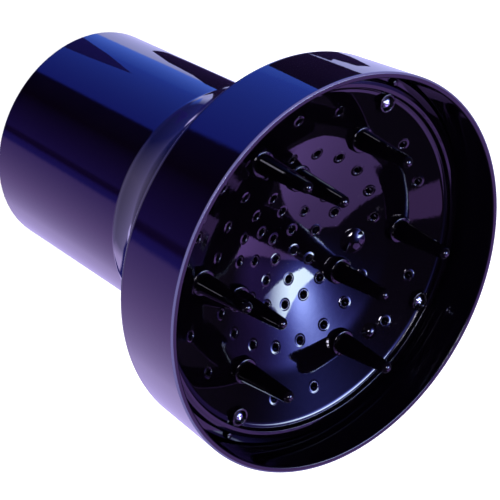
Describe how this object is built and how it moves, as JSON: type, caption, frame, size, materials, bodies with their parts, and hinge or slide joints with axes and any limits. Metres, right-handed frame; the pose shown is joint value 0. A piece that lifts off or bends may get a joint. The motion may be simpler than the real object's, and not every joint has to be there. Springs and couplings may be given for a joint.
{
  "type": "dryer diffuser",
  "caption": "Universal finger diffuser for a hair dryer: wide bowl with a perforated dish and tapered fingers, on a long collar with flexing grip tabs.",
  "frame": {"origin": "centre of the collar's rear rim, on the axis", "axes": "+Z along the axis from the collar to the mouth of the bowl; +X points to the first grip tab"},
  "size_m": [0.16, 0.16, 0.1613],
  "materials": {
    "housing_gloss": "glossy blue-black moulded plastic",
    "bowl_gloss": "glossy blue-black moulded plastic",
    "dish_gloss": "glossy black moulded plastic",
    "finger_gloss": "glossy black moulded plastic",
    "screw_chrome": "bright plated steel",
    "grip_ring_matte": "fine matt moulded plastic",
    "grip_tab_soft": "soft-touch, matt"
  },
  "bodies": {
    "diffuser": {"rear_housing": "housing_gloss", "bowl_ring": "bowl_gloss", "finger_dish": "dish_gloss", "finger_outer_1": "finger_gloss", "finger_outer_2": "finger_gloss", "finger_outer_3": "finger_gloss", "finger_outer_4": "finger_gloss", "finger_outer_5": "finger_gloss", "finger_outer_6": "finger_gloss", "finger_inner_1": "finger_gloss", "finger_inner_2": "finger_gloss", "finger_inner_3": "finger_gloss", "dish_screw_1": "screw_chrome", "dish_screw_2": "screw_chrome", "dish_screw_3": "screw_chrome", "dish_screw_4": "screw_chrome", "grip_ring": "grip_ring_matte"},
    "grip_tab_1": {"grip_tab_1": "grip_tab_soft"},
    "grip_tab_2": {"grip_tab_2": "grip_tab_soft"},
    "grip_tab_3": {"grip_tab_3": "grip_tab_soft"},
    "grip_tab_4": {"grip_tab_4": "grip_tab_soft"},
    "grip_tab_5": {"grip_tab_5": "grip_tab_soft"},
    "grip_tab_6": {"grip_tab_6": "grip_tab_soft"},
    "grip_tab_7": {"grip_tab_7": "grip_tab_soft"},
    "grip_tab_8": {"grip_tab_8": "grip_tab_soft"}
  },
  "joints": [
    {"name": "grip_tab_1_flex", "type": "hinge", "parent": "diffuser", "child": "grip_tab_1", "pos_m": [0.039, 0, 0.006], "axis": [0, 1, 0], "range_deg": [0, 27], "stiffness_Nm_per_rad": 0.2},
    {"name": "grip_tab_2_flex", "type": "hinge", "parent": "diffuser", "child": "grip_tab_2", "pos_m": [0.02758, 0.02758, 0.006], "axis": [-0.7071, 0.7071, 0], "range_deg": [0, 27], "stiffness_Nm_per_rad": 0.2},
    {"name": "grip_tab_3_flex", "type": "hinge", "parent": "diffuser", "child": "grip_tab_3", "pos_m": [0, 0.039, 0.006], "axis": [-1, 0, 0], "range_deg": [0, 27], "stiffness_Nm_per_rad": 0.2},
    {"name": "grip_tab_4_flex", "type": "hinge", "parent": "diffuser", "child": "grip_tab_4", "pos_m": [-0.02758, 0.02758, 0.006], "axis": [-0.7071, -0.7071, 0], "range_deg": [0, 27], "stiffness_Nm_per_rad": 0.2},
    {"name": "grip_tab_5_flex", "type": "hinge", "parent": "diffuser", "child": "grip_tab_5", "pos_m": [-0.039, 0, 0.006], "axis": [0, -1, 0], "range_deg": [0, 27], "stiffness_Nm_per_rad": 0.2},
    {"name": "grip_tab_6_flex", "type": "hinge", "parent": "diffuser", "child": "grip_tab_6", "pos_m": [-0.02758, -0.02758, 0.006], "axis": [0.7071, -0.7071, 0], "range_deg": [0, 27], "stiffness_Nm_per_rad": 0.2},
    {"name": "grip_tab_7_flex", "type": "hinge", "parent": "diffuser", "child": "grip_tab_7", "pos_m": [0, -0.039, 0.006], "axis": [1, 0, 0], "range_deg": [0, 27], "stiffness_Nm_per_rad": 0.2},
    {"name": "grip_tab_8_flex", "type": "hinge", "parent": "diffuser", "child": "grip_tab_8", "pos_m": [0.02758, -0.02758, 0.006], "axis": [0.7071, 0.7071, 0], "range_deg": [0, 27], "stiffness_Nm_per_rad": 0.2}
  ],
  "couplings": [
    {"joint": "grip_tab_2_flex", "follows": "grip_tab_1_flex", "ratio": 1},
    {"joint": "grip_tab_3_flex", "follows": "grip_tab_1_flex", "ratio": 1},
    {"joint": "grip_tab_4_flex", "follows": "grip_tab_1_flex", "ratio": 1},
    {"joint": "grip_tab_5_flex", "follows": "grip_tab_1_flex", "ratio": 1},
    {"joint": "grip_tab_6_flex", "follows": "grip_tab_1_flex", "ratio": 1},
    {"joint": "grip_tab_7_flex", "follows": "grip_tab_1_flex", "ratio": 1},
    {"joint": "grip_tab_8_flex", "follows": "grip_tab_1_flex", "ratio": 1}
  ]
}
